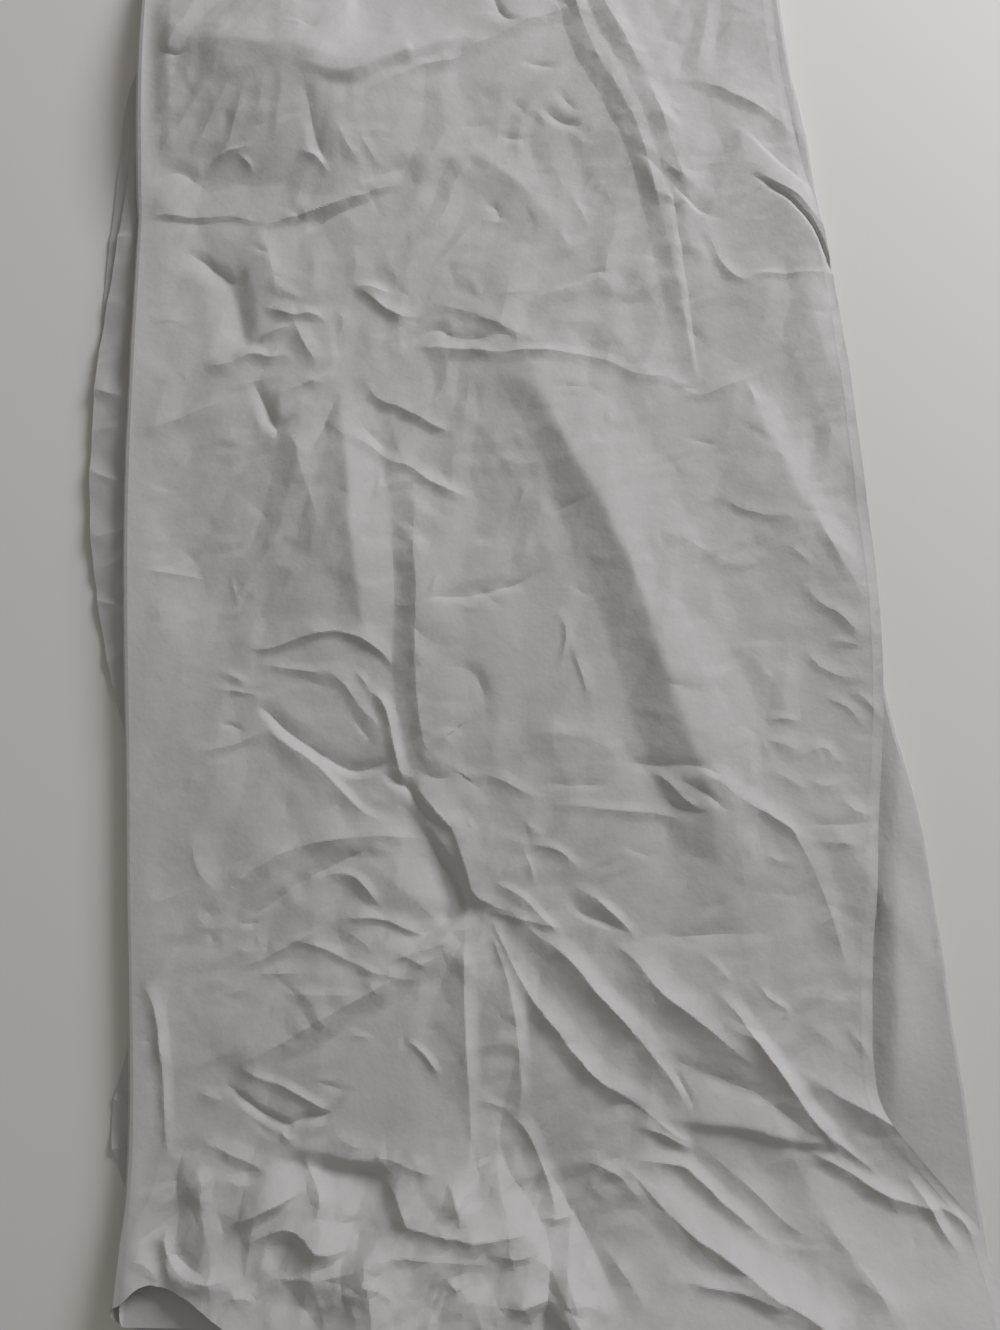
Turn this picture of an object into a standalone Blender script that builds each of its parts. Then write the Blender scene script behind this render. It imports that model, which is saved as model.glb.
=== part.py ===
"""A cotton flat bed sheet, folded up, crumpled and laid down on a level surface.

The cloth is doubled end to end first, so that it is two layers, joined by a loop at the far end.
The doubled cloth is then folded in three across, like a letter Z, into a long pad of six layers:
the top, middle and bottom panels.  The top panel turns under into the middle one at the left
fold, and the middle panel turns under into the bottom one at the right fold.

Metres, +Z up.  +X runs across the pad, +Y runs along it towards the looped end, and the origin is
under the middle of its box, on the surface that it lies on.
"""

import bmesh
import bpy
import numpy as np

# The cloth and how its layers lie.
CLOTH = 0.0012  # thickness of the solid
LAYER_RISE = 0.0032  # from the middle of one layer to the middle of the next
FAR_END = 0.640
NEAR_END = -0.640

# Cells of the mesh: across the top panel and each fold, and along each layer and the loop.
TOP_CELLS = 27
FOLD_CELLS = 3
UPPER_CELLS = 44
LOOP_CELLS = 3
UNDER_CELLS = 20
UNDER_CROWDING = 1.25  # the under layer's rows crowd towards the near end
# Where the hidden panels have their columns, as shares of the way across, first edge to second.
MIDDLE_COLUMNS = (0.0, 0.045, 0.095, 0.40, 0.70, 1.0)
BOTTOM_COLUMNS = (0.0, 0.30, 0.60, 0.85, 1.0)

# Outlines seen from above, as (y, x) stations.
LEFT_FOLD = ((-0.60, -0.301), (-0.51, -0.296), (-0.26, -0.301), (0.03, -0.306), (0.32, -0.299), (0.64, -0.297))
TOP_FREE_EDGE = (
    (-0.64, 0.332), (-0.58, 0.335), (-0.556, 0.330), (-0.537, 0.316), (-0.507, 0.293), (-0.478, 0.2735),
    (-0.448, 0.270), (-0.40, 0.274), (-0.31, 0.287), (-0.16, 0.309), (0.06, 0.314), (0.22, 0.307),
    (0.38, 0.284), (0.64, 0.281),
)
RIGHT_FOLD = (
    (-0.64, 0.333), (-0.56, 0.337), (-0.42, 0.334), (-0.26, 0.326), (-0.16, 0.311), (0.06, 0.308),
    (0.22, 0.303), (0.32, 0.300), (0.44, 0.288), (0.64, 0.286),
)
BOTTOM_FREE_EDGE = (
    (-0.64, -0.296), (-0.53, -0.300), (-0.47, -0.317), (-0.38, -0.298), (-0.19, -0.300), (-0.12, -0.317),
    (-0.05, -0.331), (0.04, -0.3405), (0.12, -0.342), (0.20, -0.340), (0.28, -0.334), (0.36, -0.326),
    (0.43, -0.319), (0.48, -0.305), (0.64, -0.292),
)
# Near ends of the panels, as (x, y) stations.
TOP_NEAR = (
    (-0.306, -0.583), (-0.286, -0.570), (-0.262, -0.572), (-0.228, -0.589), (-0.190, -0.612), (-0.120, -0.632),
    (0.10, -0.640), (0.34, -0.636),
)
MIDDLE_NEAR = ((-0.306, -0.600), (0.0, -0.622), (0.34, -0.628))
BOTTOM_NEAR = ((-0.34, -0.612), (0.34, -0.620))
# Far ends of the panels: how far short of FAR_END each one's loop stops.
TOP_SHORT = 0.006
MIDDLE_SHORT = 0.011
BOTTOM_SHORT = 0.002

# How much of each lift the six layers take, from the bottom layer up.
NEAR_SHARES = (0.0, 0.10, 0.25, 0.40, 0.60, 1.0)
LEFT_SHARES = (0.0, 0.0, 0.7, 0.8, 0.95, 1.0)
NEAR_LIFT = 0.040  # the gathered heap at the near end
NEAR_LIFT_START = -0.47
NEAR_LIFT_POWER = 1.5
LEFT_LIFT = 0.006  # the left fold stands off the bottom panel
LEFT_LIFT_REACH = 0.055
LEFT_LIFT_MIDDLE = 0.17
LEFT_LIFT_HALF_LENGTH = 0.36

# The main folds of the top layer.  Each is a route of (x, y, height) points, and the widths over
# which it falls away on the left and on the right of someone who walks along the route.
FOLDS = (
    # the long slanting bank across the middle
    (((-0.05, 0.165, 0.0), (0.03, 0.125, 0.010), (0.085, 0.02, 0.013), (0.115, -0.07, 0.013),
      (0.14, -0.17, 0.011), (0.165, -0.29, 0.004), (0.17, -0.34, 0.0)), 0.110, 0.055),
    # the flat pleat that comes in from the far end
    (((0.098, 0.54, 0.007), (0.13, 0.43, 0.008), (0.155, 0.33, 0.008), (0.170, 0.24, 0.006),
      (0.180, 0.12, 0.0)), 0.030, 0.038),
    # shoulders of the far left corner
    (((-0.29, 0.462, 0.010), (-0.25, 0.460, 0.015), (-0.215, 0.448, 0.018), (-0.16, 0.438, 0.017),
      (-0.11, 0.430, 0.012), (-0.06, 0.438, 0.005), (-0.02, 0.45, 0.0)), 0.15, 0.12),
    (((-0.30, 0.297, 0.003), (-0.24, 0.298, 0.006), (-0.19, 0.292, 0.004), (-0.11, 0.310, 0.006),
      (-0.04, 0.340, 0.005), (0.02, 0.33, 0.0)), 0.035, 0.045),
    # the two upright folds on the left of the middle
    (((-0.185, 0.26, 0.0), (-0.178, 0.20, 0.005), (-0.15, 0.14, 0.005), (-0.125, 0.07, 0.008),
      (-0.120, 0.0, 0.009), (-0.112, -0.08, 0.006), (-0.09, -0.12, 0.0)), 0.045, 0.085),
    (((-0.07, 0.05, 0.0), (-0.067, 0.0, 0.006), (-0.068, -0.10, 0.008), (-0.065, -0.17, 0.008),
      (-0.04, -0.20, 0.005), (-0.035, -0.29, 0.007), (-0.038, -0.38, 0.006), (-0.040, -0.49, 0.004)),
     0.060, 0.030),
    # the ridge below the sharp valley, and the bow under it
    (((-0.20, -0.15, 0.0), (-0.17, -0.178, 0.006), (-0.13, -0.215, 0.007), (-0.10, -0.24, 0.0)), 0.020, 0.060),
    (((-0.29, -0.355, 0.0), (-0.24, -0.305, 0.005), (-0.18, -0.265, 0.007), (-0.10, -0.252, 0.005),
      (-0.06, -0.26, 0.0)), 0.050, 0.035),
    (((-0.21, -0.42, 0.0), (-0.15, -0.392, 0.006), (-0.09, -0.360, 0.006), (-0.045, -0.34, 0.003)), 0.070, 0.030),
    # the fan of folds that runs down to the near right corner
    (((-0.02, -0.31, 0.004), (0.02, -0.39, 0.008), (0.06, -0.445, 0.009), (0.12, -0.485, 0.006),
      (0.15, -0.50, 0.0)), 0.040, 0.028),
    (((0.0, -0.31, 0.0), (0.045, -0.35, 0.008), (0.09, -0.41, 0.009), (0.14, -0.445, 0.006),
      (0.22, -0.49, 0.003)), 0.035, 0.030),
    (((0.09, -0.345, 0.0), (0.13, -0.39, 0.007), (0.18, -0.425, 0.010), (0.225, -0.49, 0.009),
      (0.25, -0.52, 0.0)), 0.060, 0.035),
    (((0.20, -0.44, 0.0), (0.25, -0.475, 0.009), (0.29, -0.51, 0.010), (0.315, -0.56, 0.005)), 0.030, 0.024),
    (((0.08, -0.505, 0.0), (0.13, -0.52, 0.008), (0.18, -0.56, 0.009), (0.26, -0.62, 0.006)), 0.045, 0.030),
    (((0.02, -0.50, 0.0), (0.09, -0.535, 0.009), (0.15, -0.58, 0.011), (0.21, -0.63, 0.010)), 0.040, 0.035),
    # the right-hand side
    (((0.12, -0.21, 0.0), (0.16, -0.225, 0.006), (0.22, -0.262, 0.008), (0.245, -0.33, 0.005),
      (0.26, -0.39, 0.0)), 0.070, 0.030),
    (((0.19, 0.11, 0.0), (0.235, 0.05, 0.005), (0.255, -0.03, 0.006), (0.285, -0.10, 0.0)), 0.050, 0.060),
    (((0.17, 0.41, 0.0), (0.22, 0.40, 0.007), (0.27, 0.36, 0.007), (0.30, 0.33, 0.0)), 0.060, 0.035),
    # the heap's waves
    (((-0.29, -0.55, 0.0), (-0.22, -0.545, 0.007), (-0.16, -0.56, 0.008), (-0.08, -0.575, 0.009),
      (0.02, -0.565, 0.006), (0.06, -0.57, 0.0)), 0.030, 0.030),
)

COTTON = (0.50, 0.49, 0.475, 1.0)
COTTON_ROUGHNESS = 0.9


def along(stations, where):
    """A smooth line through hand-set stations, level at its two ends."""
    knots, values = np.array(stations).T
    slopes = np.gradient(values, knots)
    slopes[[0, -1]] = 0.0
    where = np.clip(where, knots[0], knots[-1])
    index = np.clip(np.searchsorted(knots, where) - 1, 0, len(knots) - 2)
    span = knots[index + 1] - knots[index]
    part = (where - knots[index]) / span
    start = values[index] * (1 + 2 * part) * (1 - part) ** 2
    end = values[index + 1] * part**2 * (3 - 2 * part)
    bend = slopes[index] * part * (1 - part) ** 2 - slopes[index + 1] * part**2 * (1 - part)
    return start + end + bend * span


def fold_height(x, y, route, left, right):
    """Height that one fold adds: its route's height, falling away as a square on either side."""
    route = np.array(route)
    nearest = np.full(x.shape, np.inf)
    height = np.zeros(x.shape)
    for start, end in zip(route[:-1], route[1:]):
        run = end[:2] - start[:2]
        part = ((x - start[0]) * run[0] + (y - start[1]) * run[1]) / (run @ run)
        part = np.clip(part, 0.0, 1.0)
        across = np.hypot(x - start[0] - part * run[0], y - start[1] - part * run[1])
        on_left = run[0] * (y - start[1]) - run[1] * (x - start[0]) > 0
        share = np.clip(1 - across / np.where(on_left, left, right), 0.0, 1.0)
        closer = across < nearest
        here = (start[2] + part * (end[2] - start[2])) * share**2
        height = np.where(closer, here, height)
        nearest = np.minimum(nearest, across)
    return height


def near_lift(x, y):
    """Rise of the gathered near end, later and lower on the right, and held down at the left fold."""
    start = NEAR_LIFT_START - 0.05 * np.clip((x + 0.05) / 0.25, 0.0, 1.0)
    ramp = np.clip((start - y) / (start - NEAR_END), 0.0, 1.0) ** NEAR_LIFT_POWER
    at_left = np.clip((x + 0.306) / 0.05, 0.0, 1.0)
    return NEAR_LIFT * ramp * (0.35 + 0.65 * at_left * (2 - at_left))


def left_lift(x, y):
    """Rise of the left fold, where it arches over the bottom panel."""
    across = np.clip(1 - (x - along(LEFT_FOLD, y)) / LEFT_LIFT_REACH, 0.0, 1.0)
    lengthwise = np.clip(1 - np.abs(y - LEFT_LIFT_MIDDLE) / LEFT_LIFT_HALF_LENGTH, 0.0, 1.0)
    return LEFT_LIFT * across * lengthwise * (2 - lengthwise)


def height(level, x, y):
    """Height of the middle of one of the six layers, 0 at the bottom and 5 at the top."""
    rest = CLOTH / 2 + level * LAYER_RISE
    lifted = rest + NEAR_SHARES[level] * near_lift(x, y) + LEFT_SHARES[level] * left_lift(x, y)
    if level < 5:
        return lifted
    crumple = sum(fold_height(x, y, *fold) for fold in FOLDS)
    clear_of_fold = np.clip((x - along(LEFT_FOLD, y)) / 0.04, 0.0, 1.0)
    return lifted + crumple * clear_of_fold


def lengthwise(near, short, x, part):
    """Y of a point that is the given part of the way from a panel's near end to its far end."""
    start = along(near, x)
    return start + (FAR_END - short - start) * part


def panel(level, near, short, edges, across, part):
    """Points of one panel's layer: across runs from its first edge line (0) to its second (1)."""
    middle_x = 0.0 * across + 0.0 * part
    y = lengthwise(near, short, middle_x, part)
    for _ in range(2):
        first, second = along(edges[0], y), along(edges[1], y)
        x = first + (second - first) * across
        y = lengthwise(near, short, x, part)
    return np.stack([x, y, height(level, x, y)], axis=-1)


def turned(upper, lower, outwards, turns):
    """Points of the rounded fold between the edges of two layers, bulging outwards along X."""
    middle = (upper + lower) / 2
    half = (upper - lower) / 2
    radius = np.abs(half[..., 2:3])
    swing = np.array([outwards, 0.0, 0.0]) * radius
    return middle + half * np.cos(turns) + swing * np.sin(turns)


def layer(is_upper, parts):
    """Rows of points across the whole folded sheet, for the upper or the under layer of the cloth."""
    parts = np.asarray(parts)[:, None]
    top_level, middle_level, bottom_level = (5, 2, 1) if is_upper else (4, 3, 0)
    across_top = np.linspace(1.0, 0.0, TOP_CELLS + 1)[None, :]
    across_middle = np.array(MIDDLE_COLUMNS)[None, :]
    across_bottom = np.array(BOTTOM_COLUMNS)[None, :]
    top = panel(top_level, TOP_NEAR, TOP_SHORT, (LEFT_FOLD, TOP_FREE_EDGE), across_top, parts)
    middle = panel(middle_level, MIDDLE_NEAR, MIDDLE_SHORT, (LEFT_FOLD, RIGHT_FOLD), across_middle, parts)
    bottom = panel(bottom_level, BOTTOM_NEAR, BOTTOM_SHORT, (RIGHT_FOLD, BOTTOM_FREE_EDGE), across_bottom, parts)
    turns = np.linspace(0.0, np.pi, FOLD_CELLS + 1)[1:-1][None, :, None]
    left = turned(top[:, -1:], middle[:, :1], -1.0, turns)
    right = turned(middle[:, -1:], bottom[:, :1], 1.0, turns)
    return np.concatenate([top, left, middle, right, bottom], axis=1)


def sheet_points():
    """All rows, from the upper layer's near end, round the far loop, to the under layer's near end."""
    upper = layer(True, np.linspace(0.0, 1.0, UPPER_CELLS + 1))
    under = layer(False, np.linspace(0.0, 1.0, UNDER_CELLS + 1) ** UNDER_CROWDING)[::-1]
    middle = (upper[-1] + under[0]) / 2
    half = (upper[-1] - under[0]) / 2
    radius = np.linalg.norm(half, axis=-1, keepdims=True)
    loop = [
        middle + half * np.cos(turn) + np.array([0.0, 1.0, 0.0]) * radius * np.sin(turn)
        for turn in np.linspace(0.0, np.pi, LOOP_CELLS + 1)[1:-1]
    ]
    return np.concatenate([upper, np.array(loop), under])


def centred(points):
    """The points moved so that their box has its middle over the origin."""
    low, high = points.min(axis=(0, 1)), points.max(axis=(0, 1))
    return points - np.array([(low[0] + high[0]) / 2, (low[1] + high[1]) / 2, 0.0])


def cotton():
    material = bpy.data.materials.new("washed_cotton")
    material.use_nodes = True
    shader = material.node_tree.nodes["Principled BSDF"]
    shader.inputs["Base Color"].default_value = COTTON
    shader.inputs["Roughness"].default_value = COTTON_ROUGHNESS
    shader.inputs["Metallic"].default_value = 0.0
    return material


def build_sheet():
    """The whole sheet as one surface, given its thickness by a Solidify modifier."""
    points = centred(sheet_points())
    rows, columns = points.shape[:2]
    shape = bmesh.new()
    corners = [[shape.verts.new(point) for point in row] for row in points]
    for row in range(rows - 1):
        for column in range(columns - 1):
            shape.faces.new((
                corners[row][column],
                corners[row + 1][column],
                corners[row + 1][column + 1],
                corners[row][column + 1],
            ))
    mesh = bpy.data.meshes.new("sheet")
    shape.to_mesh(mesh)
    shape.free()
    mesh.shade_smooth()
    mesh.materials.append(cotton())
    sheet = bpy.data.objects.new("sheet", mesh)
    bpy.context.collection.objects.link(sheet)
    thicken = sheet.modifiers.new("cloth", "SOLIDIFY")
    thicken.thickness = CLOTH
    thicken.offset = 0.0
    thicken.use_even_offset = True
    return sheet


for old in list(bpy.data.objects):
    bpy.data.objects.remove(old, do_unlink=True)
build_sheet()
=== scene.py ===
"""A crumpled cotton bed sheet, folded into a long six-layer pad and lying on a pale floor.

The cloth is doubled end to end, with its looped end at +Y, and then folded in three across: the top
panel turns under at the left fold (-X), and the middle panel turns under at the right fold (+X).
"""

import logging
import math
from collections.abc import Callable
from dataclasses import dataclass, replace
from enum import Enum

import bpy
import numpy as np
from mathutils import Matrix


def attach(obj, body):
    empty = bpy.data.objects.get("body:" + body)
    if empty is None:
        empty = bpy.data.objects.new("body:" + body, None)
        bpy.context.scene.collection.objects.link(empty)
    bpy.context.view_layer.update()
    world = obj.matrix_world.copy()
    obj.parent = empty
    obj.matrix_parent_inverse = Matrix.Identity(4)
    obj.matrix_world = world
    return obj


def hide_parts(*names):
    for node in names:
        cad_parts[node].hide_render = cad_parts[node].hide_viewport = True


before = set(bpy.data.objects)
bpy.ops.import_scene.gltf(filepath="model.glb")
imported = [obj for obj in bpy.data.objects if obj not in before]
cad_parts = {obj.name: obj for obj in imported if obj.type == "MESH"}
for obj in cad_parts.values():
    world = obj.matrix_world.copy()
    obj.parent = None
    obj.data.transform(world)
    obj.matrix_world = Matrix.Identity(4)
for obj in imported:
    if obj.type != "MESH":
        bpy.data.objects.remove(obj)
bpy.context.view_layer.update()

LOG = logging.getLogger("bed_sheet")
MM = 0.001
LATTICE = 512  # cells each way in a noise lattice, more than its finest use needs
LATTICE_BEND = 0.55  # how far smooth noise bends a facet lattice, in its cells
BEND_CELL = 1.7  # the size of that noise, in the lattice's cells
FACET_TURN = 0.6  # radians by which a facet lattice is turned, with its seed added
ROW_RISE = 0.866  # from one row of a triangle lattice to the next, in its cells
TOP_LEVEL = 5  # of the six layers, counted from 0 at the bottom
Stations = tuple[tuple[float, float], ...]


class Layer(Enum):
    """The two layers of the doubled cloth, with their levels in the top, middle and bottom panels."""

    UPPER = (5, 2, 1)
    UNDER = (4, 3, 0)


@dataclass(frozen=True)
class Crease:
    """One given crease, in millimetres.

    Attributes:
        route: (x, y, height) points, from its far or left end to its near or right end.
        far: width of the flank on the walker's left, which faces the far and right sides.
        near: width of the flank on the walker's right, which faces the near and left sides.
        hollow: how hollow the flanks are: 1 is a flat facet, 2 a curve that eases into the cloth.
            Where it isn't given, narrow creases are hollow and broad ones flat.
        crest: radius that rounds the crest.
    """

    route: tuple[tuple[float, float, float], ...]
    far: float
    near: float
    hollow: float | None = None
    crest: float = 0.1


def bolder(creases: tuple[Crease, ...], times: float) -> tuple[Crease, ...]:
    """The same creases with their heights made that many times greater."""
    return tuple(
        replace(crease, route=tuple((x, y, times * height) for x, y, height in crease.route))
        for crease in creases
    )


# The creases of the top layer, by place. Heights below 0 are valleys.
LONG_BANK = (
    Crease(((-35, 155, 0), (10, 135, 5), (38, 118, 9), (60, 75, 9), (81, 30, 7), (98, -15, 4),
            (115, -60, 1.5), (127, -110, 0)), 75, 68, 1.25, 3),
    Crease(((40, 112, 0), (60, 75, 3), (81, 30, 6), (98, -15, 8.5), (115, -60, 11), (127, -110, 11.5),
            (140, -165, 10.5), (152, -205, 9), (162, -250, 7.5), (166, -290, 5), (170, -335, 0)),
            75, 41, 1.25, 3),
    Crease(((5, 62, 0), (28, 52, 2.5), (56, 60, 0)), 8, 10),
    Crease(((45, 5, 0), (60, 12, -2), (80, 19, 0)), 4, 4),
    Crease(((62, -28, 0), (85, -35, 1.5), (104, -40, 0)), 12, 8),
    Crease(((98, -160, 0), (118, -166, 1.5), (140, -170, 0)), 8, 5),
)
PLEAT = (
    Crease(((86, 590, 8), (96, 498, 8.6), (110, 450, 9), (131, 400, 9), (147, 350, 8.4), (158, 300, 7.2),
            (166, 250, 6.2), (171, 200, 5), (177, 150, 3.4), (181, 105, 0)), 29, 11, 1.0),
    Crease(((112, 590, 6), (123, 498, 7), (140, 450, 7.4), (159, 400, 7.4), (174, 350, 6.8), (184, 310, 5),
            (193, 272, 0)), 29, 11, 1.0),
    Crease(((170, 320, 0), (174, 285, -1.8), (176, 250, -2.6), (178, 200, -2.6), (181, 150, -2),
            (182, 108, 0)), 14, 4),
)
SHOULDER = (
    Crease(((-304, 470, 7), (-285, 467, 11), (-262, 463, 17), (-240, 457, 24), (-215, 450, 31),
            (-160, 442, 30), (-110, 430, 18), (-60, 438, 6), (-20, 450, 0)), 150, 140, 0.9, 2),
)
FAR_LEFT = (
    Crease(((-285, 459, 0), (-276, 450, -3), (-265, 445, -3), (-253, 447, 0)), 5, 8),
    Crease(((-205, 436, 0), (-228, 398, 2.4), (-252, 358, 2.4), (-278, 330, 0)), 14, 12),
    Crease(((-222, 440, 0), (-248, 402, 2), (-276, 366, 2), (-292, 345, 0)), 12, 10),
    Crease(((-196, 430, 0), (-206, 398, 2), (-220, 366, 2), (-236, 338, 0)), 11, 9),
    Crease(((-186, 428, 0), (-188, 400, 1.6), (-194, 372, 0)), 9, 9),
    Crease(((-170, 424, 0), (-172, 396, 1.6), (-178, 360, 0)), 9, 8),
    Crease(((-244, 440, 0), (-262, 416, 1.6), (-284, 396, 0)), 12, 10),
    Crease(((-237, 346, 0), (-226, 352, 3), (-212, 355, 2.6), (-197, 361, 0)), 4, 5),
    Crease(((-216, 352, 0), (-206, 346, 2), (-200, 336, 0)), 4, 4),
    Crease(((-296, 390, 0), (-284, 396, 3), (-270, 404, 0)), 5, 6),
    Crease(((-297, 384, 0), (-284, 388, 2.4), (-274, 393, 0)), 5, 6),
    Crease(((-300, 322, 0), (-284, 332, -2), (-266, 338, -3), (-248, 326, -2), (-236, 318, 0)), 9, 12),
    Crease(((-151, 412, 0), (-147, 388, -4), (-141, 360, -5), (-131, 334, 0)), 12, 8),
    Crease(((-160, 348, 0), (-143, 346, 3.4), (-131, 330, 0)), 6, 6),
    Crease(((-127, 385, 0), (-115, 356, 2.6), (-100, 332, 0)), 9, 8),
    Crease(((-108, 372, 0), (-96, 350, 2), (-84, 332, 0)), 8, 7),
    Crease(((-104, 322, 0), (-88, 330, -2.4), (-66, 336, 0)), 7, 6),
    Crease(((-198, 283, 0), (-165, 290, 5), (-130, 301, 6), (-100, 311, 5), (-68, 320, 0)), 24, 5),
    Crease(((-168, 271, 0), (-142, 287, -3.4), (-118, 298, -3.4), (-96, 305, 0)), 6, 6),
    Crease(((-302, 299, 2), (-280, 295, 3.4), (-250, 294, 4), (-220, 296, 3.4), (-203, 291, 2),
            (-188, 286, 0)), 29, 3.4, 1.2),
    Crease(((-202, 291, 0), (-191, 268, 4.4), (-185, 245, 5.4), (-181, 225, 4), (-183, 200, 0)),
            22, 22, 1.2),
    Crease(((-264, 264, 0), (-248, 256, -4), (-234, 244, -5.4), (-220, 234, -5), (-206, 240, 0)), 8, 15),
    Crease(((-221, 237, -2), (-215, 212, -5.4), (-212, 190, -6), (-207, 166, 0)), 20, 34, 1.1),
    Crease(((-222, 232, 0), (-231, 195, 2), (-244, 152, 0)), 12, 26),
    Crease(((-192, 208, 0), (-178, 202, 5), (-164, 197, 4), (-150, 198, 4.6), (-126, 188, 0)), 9, 6),
    Crease(((-168, 199, 0), (-160, 178, 4), (-152, 160, 4.4), (-144, 144, 0)), 9, 9),
    Crease(((-196, 175, 0), (-180, 184, 4), (-163, 190, 0)), 6, 6),
    Crease(((-244, 151, 0), (-222, 155, 5), (-203, 161, 6.4), (-185, 158, 4.4), (-166, 160, 0)), 11, 8),
    Crease(((-182, 118, 0), (-163, 128, 4.6), (-148, 134, 4.6), (-134, 142, 0)), 9, 7),
    Crease(((-205, 140, 0), (-195, 122, -4.4), (-187, 102, -5.6), (-181, 90, -2)), 9, 9),
    Crease(((-182, 91, -2), (-174, 97, -3.6), (-163, 104, 0)), 6, 6),
    Crease(((-130, 205, 0), (-122, 190, 2.6), (-128, 172, 0)), 8, 9),
    Crease(((-150, 262, 0), (-148, 236, 1.8), (-152, 208, 0)), 10, 12),
    Crease(((-112, 268, 0), (-110, 240, 1.8), (-114, 222, 0)), 12, 10),
    Crease(((-90, 268, 0), (-80, 240, 1.6), (-74, 222, 0)), 10, 12),
)
FAR_MIDDLE = (
    Crease(((-157, 430, 0), (-130, 419, 5), (-105, 419, 7.5), (-80, 433, 8.5), (-50, 447, 8), (-22, 459, 5),
            (-2, 468, 0)), 36, 9),
    Crease(((-130, 386, 0), (-102, 401, 3), (-72, 419, 5), (-45, 434, 5.6), (-20, 440, 5.6), (0, 453, 6),
            (25, 463, 6), (50, 476, 6), (75, 487, 6), (100, 498, 4)), 28, 8),
    Crease(((18, 525, -3), (25, 496, -4), (33, 482, -3.4), (47, 476, 0)), 6, 10),
    Crease(((-63, 332, 0), (-35, 341, 5), (-5, 346, 6), (20, 331, 6), (38, 312, 4.6), (48, 300, 3.6),
            (60, 280, 2.6), (75, 255, 2), (92, 228, 0)), 18, 20, 1.4, 2),
    Crease(((2, 302, 0), (11, 297, -1.8), (16, 286, -1.6), (9, 277, 0)), 5, 8),
    Crease(((0, 283, 0), (12, 281, 1.8), (24, 279, 0)), 4, 5),
    Crease(((-80, 200, 0), (-40, 243, 1.8), (0, 284, 1.8), (11, 294, 0)), 6, 4),
    Crease(((38, 200, 0), (60, 206, 1.8), (82, 213, 2.2), (98, 218, 1.2), (114, 220, 0)), 5, 8),
    Crease(((86, 221, 0), (100, 226, -1.8), (118, 222, 0)), 4, 5),
    Crease(((42, 437, 0), (60, 434, -3), (82, 432, 0)), 5, 5),
    Crease(((58, 394, 0), (75, 378, -3.4), (95, 370, -2), (104, 371, 0)), 7, 7),
    Crease(((74, 412, 0), (85, 395, -2.6), (94, 382, 0)), 5, 7),
    Crease(((30, 404, 0), (41, 392, -2.6), (46, 380, 0)), 6, 7),
    Crease(((16, 369, 0), (32, 363, -3), (46, 362, 0)), 5, 5),
    Crease(((-20, 372, 0), (4, 377, -1.8), (22, 372, 0)), 6, 6),
    Crease(((-10, 402, 0), (10, 412, 2), (34, 420, 0)), 10, 8),
    Crease(((98, 335, 0), (112, 308, 2), (124, 282, 0)), 10, 8),
    Crease(((74, 318, 0), (90, 285, 1.8), (100, 262, 0)), 9, 8),
    Crease(((-48, 206, 0), (-25, 197, 3), (-8, 188, 4), (8, 179, 4), (25, 171, 2.4), (48, 164, 0)), 15, 7),
    Crease(((-80, 162, 0), (-62, 172, -3), (-42, 180, -4), (-28, 171, -3.2), (-8, 167, -4), (14, 170, -3),
            (28, 164, 0)), 8, 8),
    Crease(((-64, 165, 0), (-45, 161, 3.2), (-20, 157, 5), (0, 155, 5.4), (30, 154, 4.6), (60, 152, 4.4),
            (85, 147, 4.2), (105, 141, 3), (125, 129, 2.2), (140, 127, 2.2), (155, 125, 2), (168, 113, 1.8),
            (181, 107, 2.2), (200, 112, 2.6), (222, 119, 2.6), (240, 127, 1.6), (258, 141, 0)), 7, 8),
    Crease(((-116, 223, 0), (-95, 219, 4.4), (-74, 211, 0)), 7, 8),
    Crease(((-113, 221, 0), (-100, 214, 4), (-90, 203, 6), (-78, 194, 6), (-60, 187, 0)), 11, 7),
)
FAR_RIGHT = (
    Crease(((215, 400, 0), (240, 360, 3), (262, 320, 4), (280, 270, 5), (284, 215, 0)), 50, 60, 1.5, 6),
    Crease(((160, 412, 0), (190, 412, 2), (215, 406, 4), (240, 390, 4.6), (262, 374, 3.4), (288, 350, 0)),
            28, 8),
    Crease(((218, 374, 0), (245, 352, -2.2), (268, 328, -3.2), (290, 305, -1.4), (302, 295, 0)), 14, 4),
    Crease(((240, 315, 0), (258, 300, -2.4), (275, 284, -4.6), (290, 266, -7.6), (299, 246, -7.6),
            (306, 218, -2)), 1.6, 3.4),
    Crease(((240, 320, 0), (262, 303, 2.5), (282, 286, 3), (300, 262, 2), (306, 245, 0)), 7, 3),
    Crease(((168, 314, 0), (183, 294, -2.8), (198, 281, -3.2), (220, 267, 0)), 9, 4),
    Crease(((197, 270, 0), (206, 248, 2.8), (212, 230, 3.2), (224, 216, 3.2), (242, 209, 0)), 10, 7),
    Crease(((228, 214, 0), (245, 218, 2.2), (270, 217, 2), (304, 216, 0.8)), 5, 5),
    Crease(((222, 119, 0), (226, 105, 2.6), (229, 90, 0)), 5, 6),
)
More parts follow.
